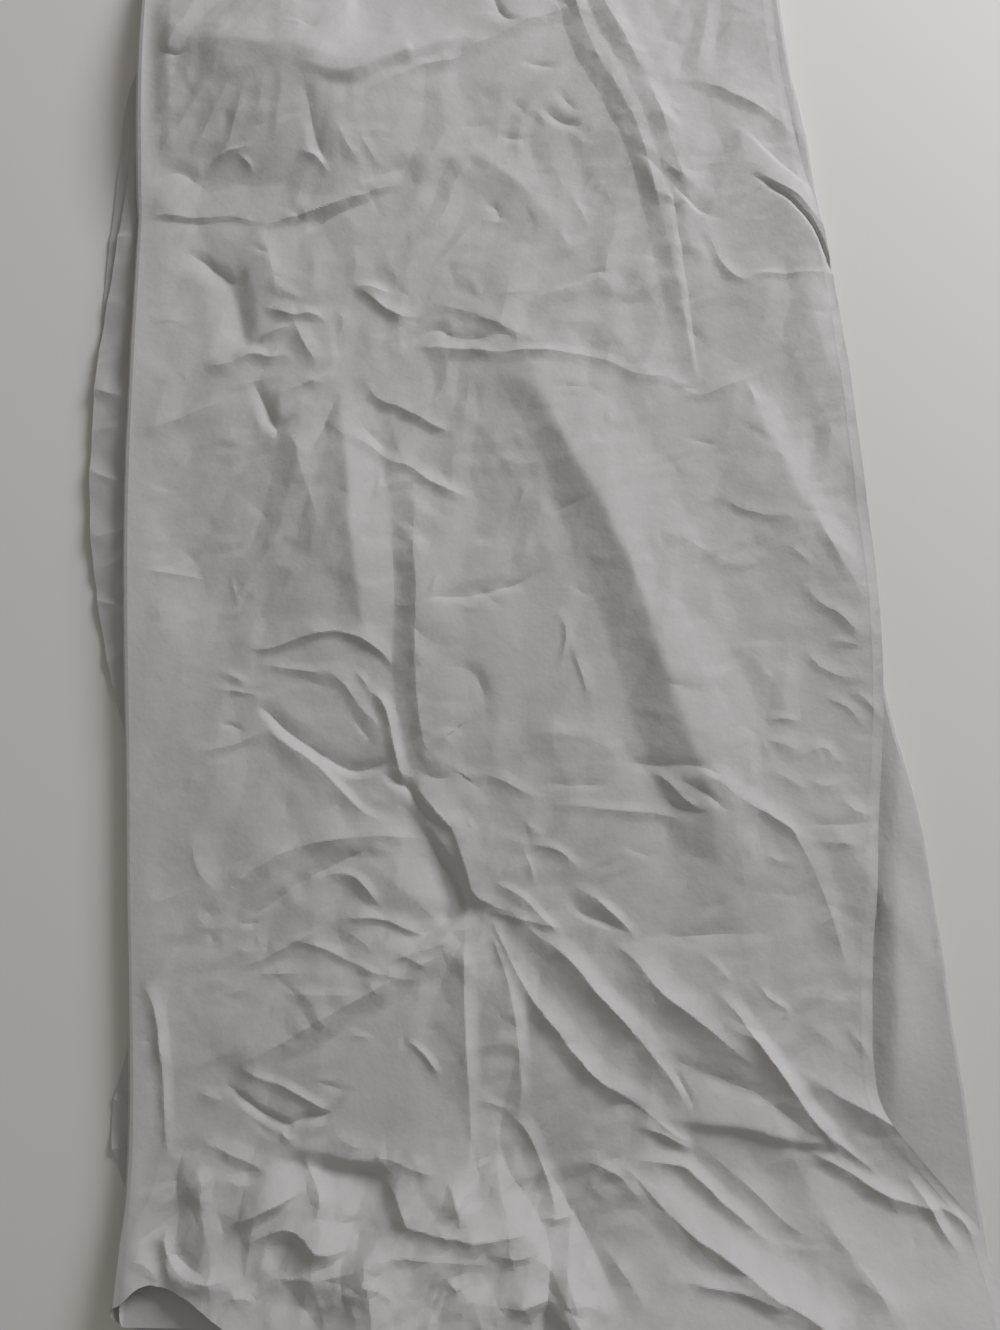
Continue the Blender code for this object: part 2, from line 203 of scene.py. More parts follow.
LEFT_MIDDLE = (
    Crease(((-304, 92, 1), (-278, 98, 3), (-255, 108, 3.6), (-232, 118, 2.2), (-216, 125, 0)), 8, 13),
    Crease(((-234, 84, 0), (-215, 80, 1.2), (-196, 80, 0)), 6, 6),
    Crease(((-304, -25, 0), (-270, -31, 1.6), (-230, -37, 0)), 4, 4),
    Crease(((-223, -29, 0), (-219, -45, 1.6), (-214, -62, 0)), 3, 4),
    Crease(((-172, 92, 0), (-163, 75, 2.2), (-158, 45, 2.2), (-151, 15, 1.4), (-144, -8, 0)), 10, 15),
    Crease(((-129, 128, 3), (-127, 90, 8), (-123, 50, 10), (-121, 10, 10), (-118, -30, 9), (-114, -65, 7),
            (-108, -92, 3.4), (-98, -108, 0)), 40, 96, 1.2),
    Crease(((-127, 122, 0), (-136, 110, -2.6), (-145, 88, -2.2), (-152, 70, 0)), 6, 8),
    Crease(((-110, 142, 0), (-95, 118, 3.4), (-75, 107, 5), (-50, 92, 4.6), (-28, 81, 0)), 26, 7),
    Crease(((-130, 89, 0), (-108, 76, 2.4), (-88, 62, 3), (-72, 54, 3.4), (-55, 40, 4.4), (-38, 31, 3.4),
            (-18, 23, 0)), 9, 7),
    Crease(((-114, 98, 0), (-98, 80, -1.8), (-82, 65, 0)), 5, 5),
    Crease(((-68, 50, 0), (-67, 20, 5), (-67, -10, 6.4), (-69, -60, 7.6), (-70, -110, 8), (-68, -150, 8.6),
            (-62, -185, 7.6), (-48, -198, 2)), 29, 13, 1.1),
    Crease(((-90, -62, 0), (-80, -66, 1.4), (-68, -67, 0)), 5, 5),
    Crease(((-64, -62, 0), (-40, -61, -3.2), (-10, -58, -4), (15, -54, -3.4), (40, -41, 0)), 11, 6),
    Crease(((-210, -94, 0), (-195, -97, 3.4), (-175, -93, 4.4), (-155, -88, 4.6), (-135, -85, 5.4),
            (-115, -91, 5.4), (-100, -102, 4.4), (-88, -117, 1.4), (-78, -130, 0)), 13, 5),
    Crease(((-242, -126, 0), (-215, -132, 1.6), (-194, -140, 0)), 4, 4),
    Crease(((-234, -111, 0), (-220, -118, 2.2), (-206, -127, 0)), 5, 5),
    Crease(((-234, -158, 0), (-222, -161, -2.2), (-210, -167, 0)), 4, 5),
    Crease(((-247, -182, 0), (-215, -175, 1.8), (-186, -162, 0)), 5, 4),
    Crease(((-202, -109, 0), (-178, -115, 2.6), (-158, -119, 3), (-138, -126, 0)), 6, 6),
    Crease(((-152, -114, 0), (-132, -128, 3), (-115, -150, 3.2), (-98, -167, 0)), 11, 7),
    Crease(((-124, -118, 0), (-113, -128, 2), (-106, -140, 0)), 5, 5),
    Crease(((-110, -136, 0), (-98, -145, 4.2), (-92, -160, 5.2), (-88, -180, 5.2), (-84, -200, 4.2),
            (-79, -218, 0)), 7, 7),
    Crease(((-200, -145, 0), (-188, -155, -4.2), (-170, -170, -5.2), (-150, -187, -5.4), (-130, -198, -6),
            (-115, -200, -6), (-100, -196, -4), (-88, -191, 0)), 10, 5),
    Crease(((-194, -162, 0), (-170, -180, 4), (-150, -198, 4.4), (-130, -218, 5), (-115, -233, 3.4),
            (-98, -242, 0)), 5, 13),
    Crease(((-100, -201, 0), (-88, -211, -5), (-78, -217, -6), (-72, -228, -4), (-62, -242, -2)), 7, 6),
    Crease(((-85, -225, 0), (-70, -245, -5), (-55, -272, -7), (-44, -298, -9), (-42, -310, -9),
            (-55, -323, -7), (-75, -331, -4), (-92, -330, 0)), 9, 42, 1.5),
    Crease(((-74, -211, 0), (-62, -228, 4.4), (-50, -243, 5.4), (-42, -260, 5.6), (-35, -285, 6),
            (-30, -300, 6), (-18, -311, 4.4), (0, -318, 2.4), (22, -322, 0)), 14, 6),
)
MIDDLE = (
    Crease(((-44, -116, 0), (-27, -123, -2.6), (-17, -142, -3.2), (-13, -174, 0)), 7, 15),
    Crease(((-70, -204, 0), (-55, -210, -3), (-41, -207, 0)), 5, 5),
    Crease(((-78, -212, 0), (-68, -226, 3), (-54, -240, 3), (-46, -249, 0)), 4, 5),
    Crease(((-26, -204, 0), (-5, -212, 3.2), (12, -222, 2.4), (26, -231, 0)), 7, 6),
    Crease(((42, -74, 0), (53, -88, 2.2), (52, -105, 2.2), (43, -130, 0)), 7, 4),
    Crease(((56, -98, 0), (64, -130, 2.2), (74, -164, 0)), 9, 4),
    Crease(((12, -174, 0), (45, -178, 3.4), (75, -190, 3.4), (92, -206, 0)), 26, 26),
    Crease(((28, -219, 0), (55, -222, -2.6), (90, -222, 0)), 5, 5),
    Crease(((18, -236, 0), (60, -238, 2.4), (100, -243, 3.2), (132, -249, 1.8), (142, -251, 0)), 6, 7),
    Crease(((-12, -257, 0), (15, -265, 2.4), (38, -272, 3.2), (56, -289, 0)), 7, 8),
    Crease(((8, -263, 0), (15, -285, 1.8), (18, -307, 0)), 3, 4),
    Crease(((-16, -292, 0), (-4, -300, 3), (8, -308, 4), (22, -322, 4.4), (39, -338, 0)), 4, 6),
    Crease(((-24, -315, 0), (0, -322, 3.4), (20, -326, 3.4), (40, -332, 0)), 6, 4),
    Crease(((46, -299, 0), (62, -306, 3.4), (75, -318, 5.2), (88, -333, 4.2), (97, -343, 0)), 6, 8),
    Crease(((42, -310, 0), (58, -322, -3), (75, -330, -3.2), (92, -339, 0)), 7, 4),
    Crease(((90, -339, 0), (120, -342, -2.4), (155, -342, -4.2), (185, -343, -2.6), (208, -345, 0)), 10, 9),
    Crease(((88, -202, 0), (120, -207, -2.8), (145, -209, -3.2), (162, -214, -2.8), (174, -223, 0)), 6, 7),
    Crease(((116, -211, 0), (130, -222, 3.2), (142, -236, 3.2), (153, -247, 0)), 5, 5),
    Crease(((120, -227, 0), (132, -240, -2.6), (147, -246, -2), (156, -249, 0)), 4, 8),
    Crease(((136, -217, 0), (150, -228, -2.6), (165, -240, -2.2), (182, -251, 0)), 6, 5),
    Crease(((148, -213, 0), (166, -222, 4.2), (185, -237, 5.4), (205, -249, 6.2), (222, -261, 6.2),
            (229, -275, 5.2), (238, -298, 4.4), (247, -330, 4.2), (256, -362, 3.2), (261, -388, 0)),
            11, 14),
)
RIGHT_MIDDLE = (
    Crease(((203, 122, 0), (227, 85, 6), (241, 55, 7.6), (252, 25, 8.6), (261, 0, 7), (275, -30, 6),
            (290, -60, 3.4), (302, -84, 0)), 40, 64, 1.3, 3),
    Crease(((186, 19, 0), (205, 4, 2.6), (225, -3, 3.2), (254, -8, 0)), 11, 6),
    Crease(((265, 12, 0), (271, -12, 3.2), (282, -40, 3.8), (295, -65, 2.4), (302, -82, 0)), 14, 8),
    Crease(((240, -28, 0), (252, -40, 2.2), (266, -53, 0)), 6, 5),
    Crease(((248, -52, 0), (262, -78, 2.8), (280, -92, 4.2), (292, -108, 2.4), (298, -118, 0)), 10, 7),
    Crease(((268, -113, 0), (284, -116, 2.6), (303, -122, 0)), 5, 5),
    Crease(((247, -113, 0), (260, -133, 2.4), (280, -145, 2.8), (303, -147, 0)), 8, 6),
    Crease(((260, -159, 0), (280, -170, 2.8), (298, -190, 0)), 6, 5),
    Crease(((283, -153, 0), (298, -165, 2.4), (311, -182, 0)), 6, 5),
    Crease(((128, -11, 0), (155, -20, 2.2), (178, -34, 2.8), (198, -49, 0)), 18, 11),
    Crease(((186, -110, 0), (208, -125, 2.8), (222, -145, 3.4), (230, -170, 1.4), (232, -187, 0)), 15, 13),
    Crease(((213, -176, 0), (226, -174, 3.4), (240, -178, 0)), 5, 5),
    Crease(((203, -188, 0), (225, -195, 3.2), (243, -206, 0)), 9, 8),
    Crease(((233, -207, 0), (255, -200, 3.2), (265, -212, 2.4), (282, -215, 0)), 7, 8),
    Crease(((238, -224, 0), (255, -232, 2.8), (274, -227, 0)), 7, 7),
    Crease(((205, -214, 0), (225, -222, 2.4), (243, -238, 0)), 8, 8),
    Crease(((262, -238, 0), (275, -250, 2.6), (292, -256, 0)), 7, 7),
    Crease(((222, -259, 0), (255, -261, -2.4), (298, -261, 0)), 6, 6),
    Crease(((232, -272, 0), (260, -276, 2.6), (282, -281, 0)), 6, 7),
    Crease(((196, -280, 0), (212, -288, 2.4), (230, -292, 0)), 6, 5),
    Crease(((138, -351, 0), (155, -365, 2.2), (168, -384, 0)), 5, 7),
    Crease(((183, -375, 0), (194, -390, 2.6), (208, -401, 2.2), (195, -413, 0)), 4, 5),
    Crease(((205, -391, 0), (240, -393, 2.6), (278, -396, 0)), 11, 13),
    Crease(((213, -406, 0), (235, -420, 2.6), (252, -437, 0)), 8, 6),
    Crease(((250, -410, 0), (262, -425, 2.4), (269, -442, 0)), 6, 5),
)
NEAR_LEFT = (
    Crease(((-299, -354, 0), (-275, -345, 2.2), (-250, -318, 3.8), (-225, -290, 4.4), (-200, -272, 4.8),
            (-170, -257, 5.2), (-130, -252, 5.2), (-95, -252, 4.2), (-65, -256, 2.4), (-48, -263, 0)),
            15, 12),
    Crease(((-212, -316, 0), (-198, -308, -3.4), (-180, -297, -5), (-160, -283, -4.4), (-140, -273, -4.2),
            (-120, -264, -3.2), (-106, -262, 0)), 9, 9),
    Crease(((-218, -317, 0), (-206, -318, -2), (-196, -316, 0)), 4, 4),
    Crease(((-167, -291, 0), (-145, -281, 2.4), (-128, -282, 2.8), (-115, -294, 2.8), (-104, -310, 0)),
            6, 7),
    Crease(((-142, -317, 0), (-118, -316, 2.6), (-98, -319, 3.2), (-78, -329, 2.4), (-68, -334, 0)), 8, 5),
    Crease(((-188, -327, 0), (-155, -337, 2.4), (-125, -350, 2.8), (-95, -360, 2.4), (-58, -367, 0)), 9, 5),
    Crease(((-224, -353, 0), (-198, -345, 2.4), (-172, -333, 2.8), (-148, -324, 0)), 10, 6),
    Crease(((-217, -357, 0), (-185, -357, 2), (-148, -357, 0)), 8, 8),
    Crease(((-188, -374, 0), (-155, -371, 2), (-113, -373, 0)), 5, 9),
    Crease(((-102, -350, 0), (-78, -343, 3), (-58, -337, 2.6), (-46, -334, 0)), 8, 5),
    Crease(((-226, -428, 0), (-195, -412, 7), (-165, -396, 9), (-135, -381, 9.4), (-105, -367, 8.4),
            (-85, -357, 6.6), (-60, -345, 4.4), (-44, -338, 0)), 29, 12, 1.2),
    Crease(((-217, -423, 0), (-190, -434, 2.8), (-165, -448, 3.2), (-143, -459, 0)), 5, 6),
    Crease(((-228, -434, 0), (-212, -447, -3.6), (-198, -457, -4.8), (-184, -464, -5), (-174, -468, 0)),
            5, 5),
    Crease(((-188, -468, 0), (-168, -463, -4.8), (-152, -460, -4.2), (-142, -450, -1.8), (-136, -441, 0)),
            5, 5),
    Crease(((-186, -466, 0), (-180, -474, 2.4), (-170, -478, 0)), 4, 5),
    Crease(((-293, -350, 0), (-286, -362, 3.4), (-280, -378, 4.4), (-276, -400, 4.4), (-273, -430, 4.2),
            (-271, -460, 3.2), (-268, -488, 0)), 6, 7),
    Crease(((-304, -361, -2), (-296, -366, -4), (-285, -372, 0)), 4, 8),
    Crease(((-304, -384, -1), (-294, -382, -3), (-281, -381, 0)), 4, 5),
    Crease(((-303, -392, -1), (-292, -396, -3), (-279, -400, 0)), 4, 5),
    Crease(((-247, -474, 0), (-225, -483, 3.2), (-205, -492, 2.4), (-192, -499, 0)), 8, 6),
    Crease(((-87, -406, 0), (-75, -418, 2.4), (-66, -429, 2.4), (-60, -436, 0)), 4, 4),
    Crease(((-252, -436, 0), (-238, -444, 1.8), (-224, -450, 0)), 6, 8),
    Crease(((-113, -489, 0), (-95, -494, 3.4), (-80, -500, 3.8), (-64, -507, 0)), 9, 8),
    Crease(((-150, -470, 0), (-132, -480, 2.4), (-112, -486, 0)), 9, 12),
)
FAN = (
    Crease(((-38, -318, 0), (-40, -345, 3.8), (-41, -380, 5.4), (-40, -420, 5.4), (-40, -460, 5),
            (-42, -490, 3.4), (-46, -520, 0)), 8, 21),
    Crease(((-23, -326, 0), (-12, -352, 4.4), (-4, -385, 5.4), (-2, -420, 4.8), (-2, -450, 3.2),
            (-6, -474, 0)), 8, 21),
    Crease(((-20, -314, 0), (-8, -345, 4.4), (10, -380, 6.4), (30, -408, 7.4), (55, -440, 7.4),
            (75, -455, 6.4), (95, -470, 5.4), (115, -485, 4.2), (130, -497, 0)), 11, 9),
    Crease(((2, -320, 0), (25, -340, 4.6), (45, -358, 6.6), (60, -380, 7.4), (80, -400, 7.4),
            (100, -425, 6.4), (115, -447, 4.2), (124, -463, 0)), 10, 15),
    Crease(((72, -340, 0), (92, -358, 5.6), (108, -378, 7.6), (130, -397, 8.6), (150, -415, 8.4),
            (167, -432, 6), (179, -440, 0)), 15, 15),
    Crease(((151, -381, 0), (165, -400, 5.6), (182, -424, 8.6), (200, -449, 9.4), (214, -472, 8.6),
            (226, -490, 6.2), (240, -511, 0)), 9, 14),
    Crease(((201, -438, 0), (225, -452, 4.8), (250, -470, 7.6), (275, -487, 8.6), (298, -507, 8.6),
            (318, -532, 6), (332, -556, 2)), 16, 15),
    Crease(((223, -486, 0), (240, -502, 3.2), (255, -515, 3.2), (268, -524, 0)), 5, 5),
    Crease(((213, -501, 0), (232, -513, 5.2), (250, -525, 6.4), (272, -536, 6.4), (292, -543, 5.2),
            (308, -549, 0)), 8, 8),
    Crease(((281, -517, 0), (294, -538, 4.2), (305, -560, 4.4), (320, -584, 0)), 6, 6),
    Crease(((298, -541, 0), (318, -553, 3.2), (334, -574, 0)), 5, 6),
    Crease(((104, -472, 0), (135, -479, 4.4), (165, -484, 5.6), (200, -491, 5.4), (228, -497, 3.2),
            (238, -501, 0)), 34, 7),
    Crease(((116, -432, -1), (150, -447, -3.2), (185, -465, -3.4), (215, -487, -3), (231, -498, 0)), 8, 20),
    Crease(((117, -438, 0), (124, -452, -2.6), (132, -472, 0)), 4, 4),
    Crease(((76, -499, 0), (100, -504, 4.4), (118, -508, 5.4), (128, -518, 5.4), (145, -535, 4.4),
            (165, -553, 3.2), (188, -570, 0)), 7, 8),
    Crease(((45, -486, 0), (62, -468, -3.2), (80, -463, -4.2), (97, -472, -2.2), (107, -480, 0)), 8, 9),
    Crease(((81, -479, 0), (100, -482, 3.2), (115, -490, 3.2), (127, -499, 0)), 5, 5),
    Crease(((62, -500, 0), (78, -510, 4), (95, -530, 7), (115, -550, 9), (140, -570, 10), (165, -590, 11),
            (190, -608, 11), (218, -630, 9)), 16, 12),
    Crease(((28, -499, 0), (50, -504, 3), (68, -512, 4), (82, -530, 2), (92, -548, 0)), 7, 16),
    Crease(((96, -584, 0), (120, -590, 3.2), (150, -597, 4.2), (175, -604, 2.4), (192, -613, 0)), 8, 7),
    Crease(((36, -553, 0), (43, -575, 3.2), (50, -598, 2.4), (56, -613, 0)), 8, 9),
    Crease(((51, -558, 0), (68, -580, 3.4), (86, -610, 0)), 8, 9),
    Crease(((-14, -461, 0), (2, -480, 4.4), (12, -500, 5.4), (20, -525, 4.4), (23, -548, 0)), 8, 10),
    Crease(((-34, -453, 0), (-20, -458, 2.2), (-6, -464, 0)), 4, 4),
    Crease(((3, -540, 0), (20, -541, 3.2), (40, -543, 0)), 7, 5),
    Crease(((195, -525, 0), (225, -560, 4.4), (245, -585, 5.4), (260, -612, 4.4), (270, -640, 2)), 24, 17),
    Crease(((128, -494, 0), (160, -520, 3.4), (190, -548, 3.6), (218, -572, 0)), 15, 10),
)
HEAP = (
    Crease(((-196, -487, 0), (-165, -497, -5), (-135, -503, -7), (-110, -507, -6), (-97, -499, -3),
            (-84, -490, 0)), 14, 30),
    Crease(((-168, -488, 0), (-160, -502, 4), (-152, -518, 5), (-158, -534, 0)), 8, 14),
    Crease(((-228, -536, 0), (-205, -526, 6), (-185, -518, 6.5), (-164, -512, 0)), 20, 8),
    Crease(((-232, -500, 0), (-215, -506, 3), (-196, -503, 0)), 6, 18),
    Crease(((-212, -549, 0), (-190, -539, 6), (-177, -537, 7.5), (-165, -544, 7.5), (-152, -552, 6),
            (-128, -553, 0)), 16, 9),
    Crease(((-104, -530, 0), (-80, -541, 5), (-55, -547, 7), (-30, -549, 7), (-8, -548, 3.5),
            (14, -545, 0)), 20, 12),
    Crease(((-32, -563, 0), (-10, -565, 4), (9, -562, 0)), 12, 7),
    Crease(((-276, -536, 0), (-272, -550, 5), (-267, -562, 6), (-256, -570, 6), (-236, -572, 5),
            (-212, -567, 0)), 7, 12),
    Crease(((-270, -552, 0), (-262, -562, -5), (-252, -567, -5), (-238, -569, 0)), 7, 6),
    Crease(((-306, -554, -2), (-280, -536, -4), (-255, -520, -3.4), (-230, -506, 0)), 20, 16),
    Crease(((-300, -556, 3), (-288, -560, 4), (-280, -572, 2)), 9, 9),
    Crease(((-166, -604, 0), (-142, -586, 4), (-124, -574, 5.4), (-110, -582, 5), (-94, -596, 0)), 14, 18),
    Crease(((-124, -552, 0), (-121, -564, 4), (-124, -578, 3), (-130, -590, 0)), 14, 12),
    Crease(((-128, -556, 0), (-90, -561, 5), (-55, -564, 5), (-24, -572, 0)), 12, 22),
    Crease(((-64, -573, 0), (-55, -583, 4), (-45, -577, 0)), 6, 8),
    Crease(((-166, -526, 0), (-140, -537, -4.6), (-118, -532, -4), (-96, -515, 0)), 18, 18),
    Crease(((-112, -504, 0), (-100, -512, 4), (-92, -528, 4.6), (-88, -540, 0)), 16, 10),
    Crease(((-64, -592, 0), (-20, -599, 5), (20, -595, 5.4), (64, -602, 0)), 20, 22),
    Crease(((-204, -576, 0), (-180, -570, 4), (-146, -575, 0)), 12, 14),
    Crease(((-236, -590, 0), (-214, -584, 3.4), (-196, -594, 0)), 12, 12),
    Crease(((-60, -508, 0), (-52, -526, 4), (-50, -545, 0)), 12, 14),
    Crease(((22, -566, 0), (30, -584, 5), (34, -604, 5), (38, -624, 0)), 18, 18),
    Crease(((-250, -488, 0), (-244, -505, 3), (-246, -524, 0)), 18, 16),
)

# The creases of the lower layers, where they show beyond the top panel's edges.
LEFT_STRIP = (
    Crease(((-352, 146, 1), (-326, 136, 6), (-300, 130, 5), (-285, 128, 0)), 22, 9),
    Crease(((-352, 94, 0), (-330, 102, 4), (-300, 107, 5), (-285, 107, 0)), 8, 19),
    Crease(((-350, 70, 1), (-325, 58, 8), (-300, 50, 6), (-285, 48, 0)), 12, 24),
    Crease(((-348, 4, 0), (-325, 9, 6), (-300, 18, 6), (-285, 20, 0)), 20, 9),
    Crease(((-346, -30, 0), (-322, -17, 4), (-300, -8, 4), (-285, -6, 0)), 8, 12),
    Crease(((-345, -42, 1), (-322, -51, 7), (-300, -56, 6), (-285, -57, 0)), 7, 15),
    Crease(((-335, -104, 0), (-312, -92, 6), (-300, -84, 5), (-285, -80, 0)), 16, 7),
    Crease(((-350, 172, 1), (-325, 182, 4), (-300, 190, 3), (-285, 196, 0)), 16, 20),
    Crease(((-352, 232, 0), (-325, 224, 3), (-300, 216, 3), (-285, 214, 0)), 10, 26),
    Crease(((-345, 290, 0), (-325, 286, 2.5), (-300, 281, 2), (-290, 280, 0)), 6, 16),
    Crease(((-306, 470, 3), (-306, 420, 7), (-308, 370, 9), (-310, 300, 9), (-314, 240, 7), (-316, 200, 4)),
            10, 40, 1.1, 2),
    Crease(((-332, -425, 2), (-318, -440, 6), (-300, -450, 2)), 12, 9),
    Crease(((-332, -480, 2), (-318, -478, 6), (-300, -474, 2)), 12, 12),
    Crease(((-330, -515, 2), (-312, -512, 5), (-298, -510, 2)), 9, 7),
)
RIGHT_STRIP = (
    Crease(((322, -180, 0), (313, -240, 3), (304, -300, 5), (298, -350, 6), (292, -400, 7), (288, -440, 6),
            (281, -486, 0)), 34, 15, 1.2, 3),
)
TOP_CREASES = (
    LONG_BANK + PLEAT + SHOULDER + bolder(FAR_LEFT, 1.3) + FAR_MIDDLE + FAR_RIGHT + bolder(LEFT_MIDDLE, 1.25)
    + MIDDLE + bolder(RIGHT_MIDDLE, 0.85) + bolder(NEAR_LEFT, 1.35) + bolder(FAN, 1.3) + bolder(HEAP, 2.0)
)
LOWER_CREASES = bolder(LEFT_STRIP, 0.6) + RIGHT_STRIP


def along(stations: Stations, where: np.ndarray) -> np.ndarray:
    """A smooth line through given stations, level at its two ends.

    Each span is a cubic with the mean slope of its neighbours at either end.

    Args:
        stations: (where, value) pairs, in rising order.
        where: Places at which the line is wanted.

    Returns:
        The line's value at each place.
    """
    knots, values = np.array(stations).T
    slopes = np.gradient(values, knots)
    slopes[[0, -1]] = 0.0
    where = np.clip(where, knots[0], knots[-1])
    index = np.clip(np.searchsorted(knots, where) - 1, 0, len(knots) - 2)
    span = knots[index + 1] - knots[index]
    part = (where - knots[index]) / span
    start = values[index] * (1 + 2 * part) * (1 - part) ** 2
    end = values[index + 1] * part**2 * (3 - 2 * part)
    bend = slopes[index] * part * (1 - part) ** 2 - slopes[index + 1] * part**2 * (1 - part)
    return start + end + bend * span


def eased(value: np.ndarray) -> np.ndarray:
    """0 below 0 and 1 above 1, with a smooth S between."""
    value = np.clip(value, 0.0, 1.0)
    return value * value * (3 - 2 * value)


def soft_noise(x: np.ndarray, y: np.ndarray, cell: float, seed: int) -> np.ndarray:
    """Smooth random heights from -1 to 1: random values on a square lattice, eased between."""
    lattice = np.random.default_rng(seed).uniform(-1.0, 1.0, (LATTICE, LATTICE))
    u, v = x / cell + LATTICE / 2, y / cell + LATTICE / 2
    column, row = np.floor(u).astype(int), np.floor(v).astype(int)
    across, up = eased(u - column), eased(v - row)
    low = lattice[row, column] * (1 - across) + lattice[row, column + 1] * across
    high = lattice[row + 1, column] * (1 - across) + lattice[row + 1, column + 1] * across
    return low * (1 - up) + high * up


def facet_noise(x: np.ndarray, y: np.ndarray, cell: float, seed: int) -> np.ndarray:
    """Random heights from -1 to 1 on a triangle lattice with flat facets between, as crumpled paper has.

    The lattice is bent by smooth noise first, so that its lines don't show.
    """
    bend = LATTICE_BEND * cell
    u = x + bend * soft_noise(x, y, BEND_CELL * cell, seed + 1)
    v = y + bend * soft_noise(x, y, BEND_CELL * cell, seed + 2)
    turn = FACET_TURN + seed
    u, v = u * math.cos(turn) - v * math.sin(turn), u * math.sin(turn) + v * math.cos(turn)
    u, v = (u + 0.5 * v) / cell + LATTICE / 2, v / (ROW_RISE * cell) + LATTICE / 2
    lattice = np.random.default_rng(seed).uniform(-1.0, 1.0, (LATTICE, LATTICE))
    column, row = np.floor(u).astype(int), np.floor(v).astype(int)
    across, up = u - column, v - row
    corner, right = lattice[row, column], lattice[row, column + 1]
    above, far = lattice[row + 1, column], lattice[row + 1, column + 1]
    lower = corner + (right - corner) * across + (above - corner) * up
    upper = far + (above - far) * (1 - across) + (right - far) * (1 - up)
    return np.where(across + up < 1.0, lower, upper)


def blurred(heights: np.ndarray, cells: int) -> np.ndarray:
    """The map averaged over a square of that many cells each way, twice, so it falls off smoothly."""
    kernel = np.ones(2 * cells + 1) / (2 * cells + 1)
    for _ in range(2):
        for axis in (0, 1):
            sides = [(cells, cells) if a == axis else (0, 0) for a in (0, 1)]
            padded = np.pad(heights, sides, mode="edge")
            heights = np.apply_along_axis(lambda line: np.convolve(line, kernel, "valid"), axis, padded)
    return heights


def lowest_nearby(heights: np.ndarray, cells: int) -> np.ndarray:
    """The map with each height replaced by the lowest one within that many cells, in a square."""
    for axis in (0, 1):
        lowest = heights.copy()
        for shift in range(1, cells + 1):
            lowest = np.minimum(lowest, np.roll(heights, shift, axis))
            lowest = np.minimum(lowest, np.roll(heights, -shift, axis))
        heights = lowest
    return heights


